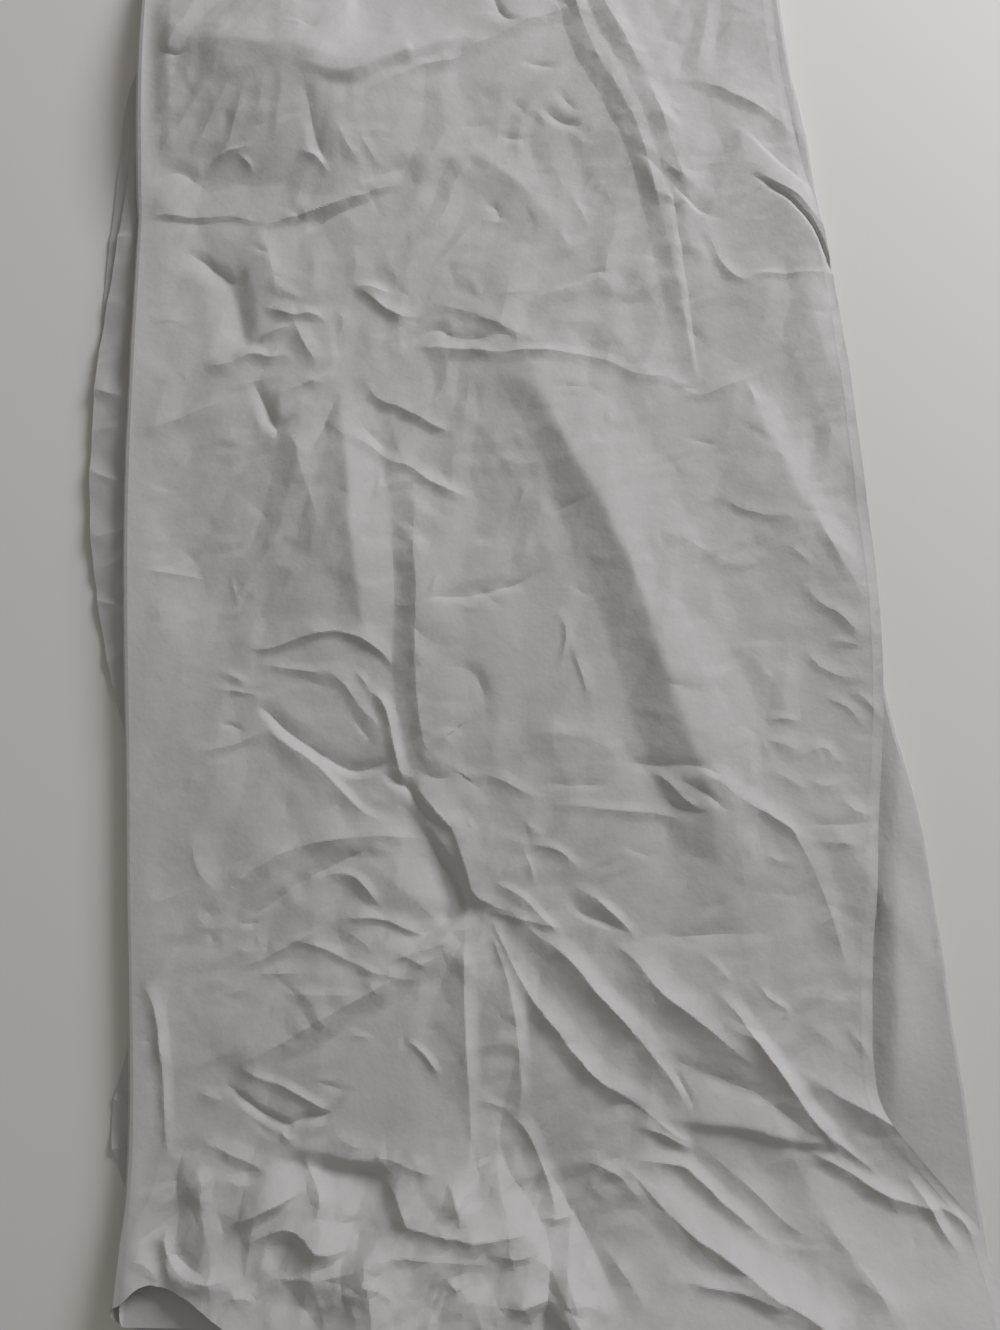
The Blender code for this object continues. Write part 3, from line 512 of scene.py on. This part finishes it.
@dataclass
class CrumpleMap:
    """Heights of one layer's creases and crumples on a fine square grid, in metres.

    The creases, the minor creases' ranges and broad_from are in millimetres, and minor_angle is in
    degrees. Noises are (cell, height, seed).
    """

    step: float = 0.0010
    half_width: float = 0.375
    half_length: float = 0.690
    wander: tuple[tuple[float, float, int], ...] = ((0.048, 0.0022, 41), (0.017, 0.0005, 47))
    per_span: int = 4
    unevenness: float = 0.35
    uneven_cell: float = 0.021
    uneven_seed: int = 53
    narrow_share: float = 0.66
    narrow_hollow: float = 1.7
    narrow_reach: float = 1.4
    broad_reach: float = 0.85
    broad_from: float = 30.0
    broad_blur: int = 2
    edge_reach: float = 0.004
    lowest_cells: int = 9
    lift: Callable[[np.ndarray, np.ndarray], np.ndarray] | None = None
    viewpoint: tuple[float, float, float] = (-0.008, -0.262, 0.802)
    facets: tuple[tuple[float, float, int], ...] = (
        (0.074, 0.0034, 3), (0.036, 0.0023, 7), (0.018, 0.0010, 11), (0.009, 0.00036, 17),
    )
    swells: tuple[float, float, int] = (0.110, 0.0022, 23)
    patch_cell: float = 0.11
    patch_seed: int = 31
    patch_depth: float = 0.3
    gathered: float = 2.6
    gathered_from: tuple[float, float] = (0.14, -0.46)
    gathered_over: tuple[float, float] = (0.16, 0.07)
    minor_count: int = 520
    minor_seed: int = 5
    minor_across: tuple[float, float] = (-300, 300)
    minor_along: tuple[float, float] = (-630, 620)
    minor_angle: tuple[float, float] = (-35.0, 50.0)
    minor_half: tuple[float, float] = (7.0, 26.0)
    minor_height: tuple[float, float] = (0.4, 1.6)
    minor_kink: float = 0.22
    minor_far: tuple[float, float] = (3.0, 12.0)
    minor_near: tuple[float, float] = (3.0, 8.0)
    creases: tuple[Crease, ...] = TOP_CREASES
    fineness: float = 1.0

    def __post_init__(self) -> None:
        """Sums the creases and the small crumples into the map."""
        self.x = np.arange(-self.half_width, self.half_width + self.step, self.step)
        self.y = np.arange(-self.half_length, self.half_length + self.step, self.step)
        plan_x, plan_y = np.meshgrid(self.x, self.y)
        self.bent_x, self.bent_y = plan_x.copy(), plan_y.copy()
        for cell, reach, seed in self.wander:
            self.bent_x += reach * facet_noise(plan_x, plan_y, cell, seed)
            self.bent_y += reach * facet_noise(plan_x, plan_y, cell, seed + 1)
        uneven = facet_noise(plan_x, plan_y, self.uneven_cell, self.uneven_seed)
        self.varied = 1.0 + self.unevenness * uneven
        self.heights, self.broad = np.zeros_like(plan_x), np.zeros_like(plan_x)
        for crease in self.creases + self.minor_creases():
            self.add(crease)
        crumples = self.fineness * self.small_crumples(plan_x, plan_y)
        self.heights += blurred(self.broad, self.broad_blur) + crumples
        self.lowest = blurred(lowest_nearby(self.heights, self.lowest_cells), self.lowest_cells)

    def minor_creases(self) -> tuple[Crease, ...]:
        """Short sharp creases at random places, mostly slanting down to the right as the main ones do."""
        chance = np.random.default_rng(self.minor_seed)
        creases = []
        for _ in range(self.minor_count):
            x, y = chance.uniform(*self.minor_across), chance.uniform(*self.minor_along)
            angle = math.radians(chance.normal(*self.minor_angle))
            half = chance.uniform(*self.minor_half)
            height = chance.choice((-1.0, 1.0)) * chance.uniform(*self.minor_height)
            run = half * math.cos(angle), half * math.sin(angle)
            kink = chance.uniform(-self.minor_kink, self.minor_kink)
            route = (
                (x - run[0], y - run[1], 0),
                (x - kink * run[1], y + kink * run[0], height),
                (x + run[0], y + run[1], 0),
            )
            creases.append(Crease(route, chance.uniform(*self.minor_far), chance.uniform(*self.minor_near)))
        return tuple(creases)

    def small_crumples(self, x: np.ndarray, y: np.ndarray) -> np.ndarray:
        """Facets and soft swells of several sizes, stronger in some patches and in the gathered near end."""
        from_x, from_y = self.gathered_from
        over_x, over_y = self.gathered_over
        patches = soft_noise(x, y, self.patch_cell, self.patch_seed)
        strength = 1 - self.patch_depth + self.patch_depth * patches
        near_end = eased((from_y - y) / over_y) * eased((from_x - x) / over_x)
        strength = strength * (1 + self.gathered * near_end)
        crumples = np.zeros_like(x)
        for cell, height, seed in self.facets:
            crumples += height * strength * facet_noise(x, y, cell, seed)
        cell, height, seed = self.swells
        return crumples + height * soft_noise(x, y, cell, seed)

    def smooth_route(self, route: np.ndarray) -> np.ndarray:
        """The route with more points, on a Catmull-Rom curve through its own ones."""
        ends = np.vstack([2 * route[0] - route[1], route, 2 * route[-1] - route[-2]])
        part = (np.arange(self.per_span) / self.per_span)[:, None]
        spans = [
            0.5 * (2 * b + (c - a) * part + (2 * a - 5 * b + 4 * c - d) * part**2
                   + (3 * b - a - 3 * c + d) * part**3)
            for a, b, c, d in zip(ends[:-3], ends[1:-2], ends[2:-1], ends[3:])
        ]
        return np.vstack([*spans, route[-1:]])

    def drawn_in(self, route: np.ndarray) -> np.ndarray:
        """The route drawn in on lifted cloth, which seems further out than it is when seen from above."""
        if self.lift is None:
            return route
        x, y, height = self.viewpoint
        share = 1 - self.lift(route[:, 0], route[:, 1]) / height
        across, along_pad = route[:, 0], route[:, 1]
        return np.stack([x + (across - x) * share, y + (along_pad - y) * share, route[:, 2]], axis=1)

    def add(self, crease: Crease) -> None:
        """Adds one crease: its route's height, falling away over its two flanks.

        Args:
            crease: The crease to add.
        """
        route = self.drawn_in(self.smooth_route(np.array(crease.route, float) * MM))
        widest = max(crease.far, crease.near)
        reach = max(self.narrow_reach, self.broad_reach) * widest * MM + self.edge_reach
        low, high = route[:, :2].min(axis=0) - reach, route[:, :2].max(axis=0) + reach
        columns = slice(*np.searchsorted(self.x, (low[0], high[0])))
        rows = slice(*np.searchsorted(self.y, (low[1], high[1])))
        x, y = self.bent_x[rows, columns], self.bent_y[rows, columns]
        nearest = np.full(x.shape, np.inf)
        height = np.zeros(x.shape)
        is_narrow = widest < self.broad_from
        reached = (self.narrow_reach if is_narrow else self.broad_reach) * MM
        hollow = crease.hollow or (self.narrow_hollow if is_narrow else 1.0)
        for start, end in zip(route[:-1], route[1:]):
            run = end[:2] - start[:2]
            part = ((x - start[0]) * run[0] + (y - start[1]) * run[1]) / max(run @ run, 1e-12)
            part = np.clip(part, 0.0, 1.0)
            across = np.hypot(x - start[0] - part * run[0], y - start[1] - part * run[1])
            on_left = run[0] * (y - start[1]) - run[1] * (x - start[0]) > 0
            level = start[2] + part * (end[2] - start[2])
            off = np.hypot(across, crease.crest * MM) - crease.crest * MM
            share = np.clip(1 - off / (reached * np.where(on_left, crease.far, crease.near)), 0.0, 1.0)
            closer = across < nearest
            height = np.where(closer, level * share**hollow, height)
            nearest = np.minimum(nearest, across)
        if is_narrow:
            self.heights[rows, columns] += self.narrow_share * height * self.varied[rows, columns]
        else:
            self.broad[rows, columns] += height

    def at(self, x: np.ndarray, y: np.ndarray, lowest: bool = False) -> np.ndarray:
        """The map's height at places between its points.

        Args:
            x: Places across the pad.
            y: Places along the pad.
            lowest: Whether to read the smooth map that stays under the creases instead.

        Returns:
            The heights, in metres.
        """
        heights = self.lowest if lowest else self.heights
        column = np.clip((x - self.x[0]) / self.step, 0, len(self.x) - 1.001)
        row = np.clip((y - self.y[0]) / self.step, 0, len(self.y) - 1.001)
        i, j = column.astype(int), row.astype(int)
        across, up = column - i, row - j
        low = heights[j, i] * (1 - across) + heights[j, i + 1] * across
        high = heights[j + 1, i] * (1 - across) + heights[j + 1, i + 1] * across
        return low * (1 - up) + high * up


@dataclass
class FoldedSheet:
    """The whole sheet: its outlines, its six layers and the crumpled surface, in metres."""

    flat_width: float = 1.80
    flat_length: float = 2.60
    offset: tuple[float, float] = (-0.0019, 0.0)  # from the outlines' own origin to the frame's
    cloth: float = 0.0012
    layer_rise: float = 0.0032
    least_gap: float = 0.0009
    far_end: float = 0.640
    near_end: float = -0.640
    left_fold: Stations = (
        (-0.60, -0.301), (-0.51, -0.296), (-0.26, -0.301), (0.03, -0.306), (0.32, -0.299), (0.64, -0.297),
    )
    top_free_edge: Stations = (
        (-0.64, 0.332), (-0.58, 0.335), (-0.556, 0.330), (-0.537, 0.316), (-0.507, 0.293), (-0.478, 0.2735),
        (-0.448, 0.270), (-0.40, 0.274), (-0.31, 0.287),
        (-0.16, 0.309), (0.06, 0.314), (0.22, 0.307), (0.38, 0.284), (0.64, 0.281),
    )
    right_fold: Stations = (
        (-0.64, 0.333), (-0.56, 0.337), (-0.42, 0.334), (-0.26, 0.326), (-0.16, 0.311), (0.06, 0.308),
        (0.22, 0.303), (0.32, 0.300), (0.44, 0.288), (0.64, 0.286),
    )
    bottom_free_edge: Stations = (
        (-0.64, -0.296), (-0.53, -0.300), (-0.47, -0.317), (-0.38, -0.298), (-0.19, -0.300), (-0.12, -0.317),
        (-0.05, -0.331), (0.04, -0.3405), (0.12, -0.342), (0.20, -0.340), (0.28, -0.334), (0.36, -0.326),
        (0.43, -0.319), (0.48, -0.305), (0.64, -0.292),
    )
    bottom_inset: Stations = ((-0.64, 0.002), (0.18, 0.002), (0.30, 0.010), (0.43, 0.012), (0.64, 0.004))
    top_near: Stations = (
        (-0.306, -0.583), (-0.286, -0.570), (-0.262, -0.572), (-0.228, -0.589), (-0.190, -0.612),
        (-0.120, -0.632), (0.10, -0.640), (0.34, -0.636),
    )
    middle_near: Stations = ((-0.306, -0.600), (0.0, -0.622), (0.34, -0.628))
    bottom_near: Stations = ((-0.34, -0.612), (0.34, -0.620))
    top_short: float = 0.006
    middle_short: float = 0.011
    bottom_short: float = 0.002
    near_shares: tuple[float, ...] = (0.0, 0.10, 0.25, 0.40, 0.60, 1.0)
    left_shares: tuple[float, ...] = (0.0, 0.0, 0.7, 0.8, 0.95, 1.0)
    crumple_shares: tuple[float, ...] = (0.0, 0.10, 0.25, 0.45, 1.0, 1.0)
    lower_shares: tuple[float, ...] = (0.8, 1.0, 0.8, 1.0, 0.0, 0.0)
    hidden_share: float = 0.4
    shown_after: float = 0.006
    fold_width: float = 0.028
    hem_width: float = 0.010
    hem_rise: float = 0.0003
    hem_ramp: float = 0.0012
    rim_drop: float = 0.0012
    rim_width: float = 0.012
    near_lift_height: float = 0.040
    near_lift_start: float = -0.47
    near_lift_power: float = 1.5
    near_lift_delay: float = 0.05
    near_lift_delayed: tuple[float, float] = (-0.05, 0.25)
    near_lift_held: tuple[float, float] = (-0.306, 0.05)
    near_lift_held_share: float = 0.35
    left_lift_reach: float = 0.055
    left_lift_power: float = 1.5
    left_lifts: tuple[tuple[float, float, float], ...] = ((0.09, 0.26, 0.005), (0.43, 0.13, 0.013))
    top_columns: int = 500
    middle_columns: tuple[tuple[float, int], ...] = ((0.86, 14), (1.0, 66))
    bottom_columns: tuple[tuple[float, int], ...] = ((0.10, 6), (0.90, 12), (1.0, 36))
    fold_cells: int = 6
    fold_cloth: float = 0.01
    upper_rows: int = 1000
    under_rows: int = 110
    loop_cells: int = 6
    loop_cloth: float = 0.005
    most_triangles: int = 190000
    sharp_above: float = 12.0

    def __post_init__(self) -> None:
        """Works out the crumpled heights once."""
        self.crumple = CrumpleMap(lift=self.near_lift)
        self.lower_crumple = CrumpleMap(creases=LOWER_CREASES, minor_count=0, fineness=0.9, narrow_share=1.0)

    def near_lift(self, x: np.ndarray, y: np.ndarray) -> np.ndarray:
        """Rise of the gathered near end, later on the right and held down at the left fold."""
        (delay_from, delay_over), (held_from, held_over) = self.near_lift_delayed, self.near_lift_held
        start = self.near_lift_start - self.near_lift_delay * np.clip((x - delay_from) / delay_over, 0.0, 1.0)
        ramp = np.clip((start - y) / (start - self.near_end), 0.0, 1.0) ** self.near_lift_power
        free = np.clip((x - held_from) / held_over, 0.0, 1.0)
        share = self.near_lift_held_share + (1 - self.near_lift_held_share) * free * (2 - free)
        return self.near_lift_height * ramp * share

    def left_lift(self, x: np.ndarray, y: np.ndarray) -> np.ndarray:
        """Rise of the left fold, where it arches over the bottom panel."""
        across = np.clip(1 - (x - along(self.left_fold, y)) / self.left_lift_reach, 0.0, 1.0)
        across = across**self.left_lift_power
        lifted = np.zeros_like(across)
        for middle, half_length, height in self.left_lifts:
            lengthwise = np.clip(1 - np.abs(y - middle) / half_length, 0.0, 1.0)
            lifted += height * across * lengthwise * (2 - lengthwise)
        return lifted

    def height(self, level: int, x: np.ndarray, y: np.ndarray) -> np.ndarray:
        """Height of one of the six layers, which each stay a little under the one above.

        Args:
            level: 0 for the bottom layer to 5 for the top one.
            x: Places across the pad.
            y: Places along the pad.

        Returns:
            The heights, in metres.
        """
        floor = self.cloth / 2
        lowest = floor + level * self.least_gap
        rest = floor + level * self.layer_rise
        left, right = along(self.left_fold, y), along(self.top_free_edge, y)
        lifted = rest + self.near_shares[level] * self.near_lift(x, y)
        lifted = lifted + self.left_shares[level] * self.left_lift(x, y)
        from_left = eased((x - left) / self.fold_width)
        if level == TOP_LEVEL:
            rim = right - x
            hem = self.hem_rise * eased((self.hem_width - rim) / self.hem_ramp)
            hem = hem - self.rim_drop * eased(1 - rim / self.rim_width)
            return np.maximum(lifted + from_left * self.crumple.at(x, y) + hem, lowest)
        shown = eased(np.maximum(left - x, x - right) / self.shown_after)
        own = self.lower_shares[level] * self.lower_crumple.at(x, y)
        own = own * (self.hidden_share + (1 - self.hidden_share) * shown)
        creased = lifted + self.crumple_shares[level] * from_left * self.crumple.at(x, y, lowest=True)
        hidden = np.minimum(creased + own, self.above(level, x, y))
        return np.maximum(hidden + (lifted + own - hidden) * shown, lowest)

    def above(self, level: int, x: np.ndarray, y: np.ndarray) -> np.ndarray:
        """The greatest height that leaves the layer over this one its room."""
        return self.height(level + 1, x, y) - self.least_gap

    def panel(self, level: int, near: Stations, short: float, edges: tuple[Stations, Stations],
              across: np.ndarray, part: np.ndarray) -> np.ndarray:
        """Points of one panel's layer, straight between its two edge lines.

        Args:
            level: The layer's level.
            near: The panel's near end, as (x, y) stations.
            short: How far short of the far end the panel's loop stops.
            edges: The lines at across 0 and at across 1.
            across: Shares of the way across, as a row.
            part: Shares of the way from the near to the far end, as a column.

        Returns:
            Points, as rows by columns by 3.
        """
        x = 0.0 * across + 0.0 * part
        for _ in range(3):
            start = along(near, x)
            y = start + (self.far_end - short - start) * part
            first, second = along(edges[0], y), along(edges[1], y)
            x = first + (second - first) * across
        return np.stack([x, y, self.height(level, x, y)], axis=-1)

    @staticmethod
    def turned(upper: np.ndarray, lower: np.ndarray, outwards: float, turns: np.ndarray) -> np.ndarray:
        """Points of a rounded fold between two layers' edges: a half turn that bulges outwards along X."""
        middle = (upper + lower) / 2
        half = (upper - lower) / 2
        swing = np.array([outwards, 0.0, 0.0]) * np.abs(half[..., 2:3])
        return middle + half * np.cos(turns) + swing * np.sin(turns)

    def column_shares(self) -> tuple[np.ndarray, np.ndarray, np.ndarray]:
        """Shares of the way across the top, middle and bottom panels, closer where a panel shows."""
        crowded = []
        for spans in (self.middle_columns, self.bottom_columns):
            starts = (0.0, *[end for end, _ in spans])
            pieces = [np.linspace(start, end, n + 1)[1:] for start, (end, n) in zip(starts, spans)]
            crowded.append(np.concatenate([[0.0], *pieces]))
        return np.linspace(0.0, 1.0, self.top_columns + 1), *crowded

    def inset_bottom_edge(self) -> Stations:
        """The bottom panel's edge in the upper layer, which stops a little inside the under layer's."""
        inset = along(self.bottom_inset, np.array([y for y, _ in self.bottom_free_edge]))
        return tuple((y, x + float(by)) for (y, x), by in zip(self.bottom_free_edge, inset))

    def layer(self, which: Layer, rows: int) -> np.ndarray:
        """Rows of points across the whole folded sheet, from the near to the far end of one layer."""
        parts = np.linspace(0.0, 1.0, rows + 1)[:, None]
        top_level, middle_level, bottom_level = which.value
        across = [shares[None, :] for shares in self.column_shares()]
        top = self.panel(top_level, self.top_near, self.top_short,
                         (self.top_free_edge, self.left_fold), across[0], parts)
        middle = self.panel(middle_level, self.middle_near, self.middle_short,
                            (self.left_fold, self.right_fold), across[1], parts)
        outer = self.bottom_free_edge if which is Layer.UNDER else self.inset_bottom_edge()
        bottom = self.panel(bottom_level, self.bottom_near, self.bottom_short, (self.right_fold, outer),
                            across[2], parts)
        turns = np.linspace(0.0, np.pi, self.fold_cells + 1)[1:-1][None, :, None]
        left = self.turned(top[:, -1:], middle[:, :1], -1.0, turns)
        right = self.turned(middle[:, -1:], bottom[:, :1], 1.0, turns)
        return np.concatenate([top, left, middle, right, bottom], axis=1)

    def points(self) -> np.ndarray:
        """All rows of points, from the upper layer's near end round the far loop to the under layer's."""
        upper = self.layer(Layer.UPPER, self.upper_rows)
        under = self.layer(Layer.UNDER, self.under_rows)[::-1]
        middle = (upper[-1] + under[0]) / 2
        half = (upper[-1] - under[0]) / 2
        radius = np.linalg.norm(half, axis=-1, keepdims=True)
        turns = np.linspace(0.0, np.pi, self.loop_cells + 1)[1:-1][:, None, None]
        loop = middle + half * np.cos(turns) + np.array([0.0, 1.0, 0.0]) * radius * np.sin(turns)
        return np.concatenate([upper, loop, under]) + np.array([*self.offset, 0.0])

    def cloth_coordinates(self) -> tuple[np.ndarray, np.ndarray]:
        """How far each column and each row lies across and along the flat cloth, in metres."""
        third = self.flat_width / 3
        bends = np.linspace(0.0, self.fold_cloth, self.fold_cells + 1)[1:-1]
        top, middle, bottom = (third * shares for shares in self.column_shares())
        across = np.concatenate([top, third + bends, third + middle, 2 * third + bends, 2 * third + bottom])
        half = self.flat_length / 2
        loop = np.linspace(half, half + self.loop_cloth, self.loop_cells + 1)[1:-1]
        along_cloth = np.concatenate([
            np.linspace(0.0, half, self.upper_rows + 1), loop,
            np.linspace(half, 2 * half, self.under_rows + 1),
        ])
        return across, along_cloth

    def build(self) -> bpy.types.Object:
        """Makes the sheet's mesh: a grid of quads, thinned where the cloth is flat.

        Returns:
            The sheet's object, with its own cloth coordinates as its UV map.
        """
        points = self.points()
        rows, columns = points.shape[:2]
        index = np.arange(rows * columns).reshape(rows, columns)
        quads = np.stack([index[:-1, 1:], index[1:, 1:], index[1:, :-1], index[:-1, :-1]], axis=-1)
        quads = quads.reshape(-1, 4)
        mesh = bpy.data.meshes.new("sheet_cloth")
        mesh.vertices.add(rows * columns)
        mesh.vertices.foreach_set("co", points.astype(np.float32).ravel())
        mesh.loops.add(quads.size)
        mesh.loops.foreach_set("vertex_index", quads.ravel().astype(np.int32))
        mesh.polygons.add(len(quads))
        mesh.polygons.foreach_set("loop_start", np.arange(0, quads.size, 4, dtype=np.int32))
        mesh.update(calc_edges=True)
        across, along_cloth = self.cloth_coordinates()
        flat = np.stack(np.meshgrid(across, along_cloth), axis=-1).reshape(-1, 2)
        layer = mesh.uv_layers.new(name="cloth")
        layer.data.foreach_set("uv", flat[quads.ravel()].astype(np.float32).ravel())
        mesh.shade_smooth()
        sheet = bpy.data.objects.new("sheet_cloth", mesh)
        bpy.context.collection.objects.link(sheet)
        thin = sheet.modifiers.new("thin", "DECIMATE")
        thin.ratio = min(1.0, self.most_triangles / (2 * len(quads)))
        graph = bpy.context.evaluated_depsgraph_get()
        thinned = bpy.data.meshes.new_from_object(sheet.evaluated_get(graph))
        sheet.modifiers.clear()
        sheet.data = thinned
        thinned.name = "sheet_cloth"
        bpy.data.meshes.remove(mesh)
        thinned.set_sharp_from_angle(angle=math.radians(self.sharp_above))
        LOG.info("sheet: %d triangles", sum(len(p.vertices) - 2 for p in thinned.polygons))
        return sheet


def linear(hex_colour: str) -> tuple[float, float, float, float]:
    """An sRGB hex colour, such as "BCBAB8", as linear red, green, blue and 1."""
    parts = [int(hex_colour[i:i + 2], 16) / 255 for i in (0, 2, 4)]
    return (*[p / 12.92 if p <= 0.04045 else ((p + 0.055) / 1.055) ** 2.4 for p in parts], 1.0)


def node(tree: bpy.types.NodeTree, kind: str, settings: dict | None = None,
         links: dict | None = None) -> bpy.types.Node:
    """Adds one node.

    Args:
        tree: The tree that it goes in.
        kind: The node's Blender type.
        settings: Its properties, or its inputs' values where the key is an input's name or number.
        links: The output socket that each named or numbered input takes.

    Returns:
        The node.
    """
    made = tree.nodes.new(kind)
    for key, value in (settings or {}).items():
        if isinstance(key, int) or key in made.inputs:
            made.inputs[key].default_value = value
        else:
            setattr(made, key, value)
    for key, socket in (links or {}).items():
        tree.links.new(socket, made.inputs[key])
    return made


@dataclass(frozen=True)
class WashedPercale:
    """Plain-woven cotton, washed often: matt and light warm grey, with a weave too fine to see."""

    name: str = "washed_percale"
    darker: str = "BFBEBD"
    lighter: str = "C6C5C5"
    roughness: float = 0.92
    sheen: float = 0.12
    sheen_roughness: float = 0.5
    specular: float = 0.2
    crinkle_mm: float = 7.0
    crinkle_detail: float = 4.0
    crinkle_roughness: float = 0.55
    crinkle_strength: float = 0.35
    crinkle_depth: float = 0.0012
    blotch_mm: float = 70.0
    blotch_detail: float = 3.0

    def make(self) -> bpy.types.Material:
        """Builds the material.

        Returns:
            The material, with its faintly blotched colour, its sheen and its crinkled bump.
        """
        material = bpy.data.materials.new(self.name)
        material.use_nodes = True
        tree = material.node_tree
        shader = tree.nodes["Principled BSDF"]
        shader.inputs["Roughness"].default_value = self.roughness
        shader.inputs["Sheen Weight"].default_value = self.sheen
        shader.inputs["Sheen Roughness"].default_value = self.sheen_roughness
        shader.inputs["Specular IOR Level"].default_value = self.specular
        place = {"Vector": node(tree, "ShaderNodeTexCoord").outputs["Object"]}
        crinkle = node(tree, "ShaderNodeTexNoise", {
            "Scale": 1 / (self.crinkle_mm * MM),
            "Detail": self.crinkle_detail,
            "Roughness": self.crinkle_roughness,
        }, place)
        blotch = node(tree, "ShaderNodeTexNoise", {
            "Scale": 1 / (self.blotch_mm * MM),
            "Detail": self.blotch_detail,
        }, place)
        tint = node(tree, "ShaderNodeMix", {"data_type": "RGBA"}, {"Factor": blotch.outputs["Fac"]})
        tint.inputs[6].default_value = linear(self.darker)
        tint.inputs[7].default_value = linear(self.lighter)
        tree.links.new(tint.outputs[2], shader.inputs["Base Color"])
        bump = node(tree, "ShaderNodeBump", {
            "Strength": self.crinkle_strength,
            "Distance": self.crinkle_depth,
        }, {"Height": crinkle.outputs["Fac"]})
        tree.links.new(bump.outputs["Normal"], shader.inputs["Normal"])
        return material


@dataclass(frozen=True)
class Studio:
    """The pale floor, the lights and the camera."""

    floor_colour: str = "DEDDD9"
    floor_side: float = 6.0
    floor_drop: float = 0.0005
    floor_roughness: float = 0.9
    floor_specular: float = 0.1
    camera_place: tuple[float, float, float] = (-0.0099, -0.262, 0.822)
    camera_tilt: float = 10.0
    camera_turn: float = -2.7
    sensor_mm: float = 36.0
    lens_mm: float = 27.07
    clip_start: float = 0.05
    key_distance: float = 3.0
    key_azimuth: float = 40.0
    key_elevation: float = 30.0
    key_size: float = 1.3
    key_watts: float = 70.0
    key_colour: str = "FAFBFF"
    fill: float = 0.24
    fill_colour: str = "FFF9F1"

    def floor(self) -> bpy.types.Object:
        """A wide plain floor just under the sheet."""
        mesh = bpy.data.meshes.new("floor")
        corners = ((-1, -1), (1, -1), (1, 1), (-1, 1))
        places = [(x * self.floor_side, y * self.floor_side, -self.floor_drop) for x, y in corners]
        mesh.from_pydata(places, [], [(0, 1, 2, 3)])
        floor = bpy.data.objects.new("floor", mesh)
        bpy.context.collection.objects.link(floor)
        material = bpy.data.materials.new("pale_floor")
        material.use_nodes = True
        shader = material.node_tree.nodes["Principled BSDF"]
        shader.inputs["Base Color"].default_value = linear(self.floor_colour)
        shader.inputs["Roughness"].default_value = self.floor_roughness
        shader.inputs["Specular IOR Level"].default_value = self.floor_specular
        mesh.materials.append(material)
        return floor

    def camera(self) -> None:
        """The camera: above the pad, tipped towards its far end."""
        data = bpy.data.cameras.new("camera")
        data.sensor_width = self.sensor_mm
        data.lens = self.lens_mm
        data.clip_start = self.clip_start
        camera = bpy.data.objects.new("camera", data)
        camera.location = self.camera_place
        camera.rotation_euler = (math.radians(self.camera_tilt), 0.0, math.radians(self.camera_turn))
        bpy.context.collection.objects.link(camera)
        bpy.context.scene.camera = camera

    def lights(self) -> None:
        """A large soft key from the far right, low enough to model the creases, and an even fill."""
        azimuth, elevation = math.radians(self.key_azimuth), math.radians(self.key_elevation)
        away = np.array([
            math.cos(elevation) * math.cos(azimuth),
            math.cos(elevation) * math.sin(azimuth),
            math.sin(elevation),
        ])
        data = bpy.data.lights.new("key", "AREA")
        data.shape = "SQUARE"
        data.size = self.key_size
        data.energy = self.key_watts
        data.color = linear(self.key_colour)[:3]
        key = bpy.data.objects.new("key", data)
        key.location = tuple(away * self.key_distance)
        key.rotation_euler = (math.pi / 2 - elevation, 0.0, azimuth + math.pi / 2)
        bpy.context.collection.objects.link(key)
        world = bpy.data.worlds.new("fill")
        world.use_nodes = True
        background = world.node_tree.nodes["Background"]
        background.inputs["Color"].default_value = linear(self.fill_colour)
        background.inputs["Strength"].default_value = self.fill
        bpy.context.scene.world = world
        bpy.context.scene.view_settings.view_transform = "Standard"

    def build(self) -> None:
        """Sets up the floor, the camera and the lights."""
        self.floor()
        self.camera()
        self.lights()


def main() -> None:
    logging.basicConfig(level=logging.INFO, format="%(message)s")
    Studio().build()
    design = FoldedSheet()
    sheet = design.build()
    sheet.data.materials.clear()
    sheet.data.materials.append(WashedPercale().make())
    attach(sheet, "root")
    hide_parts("sheet")


if __name__ == "__main__":
    main()
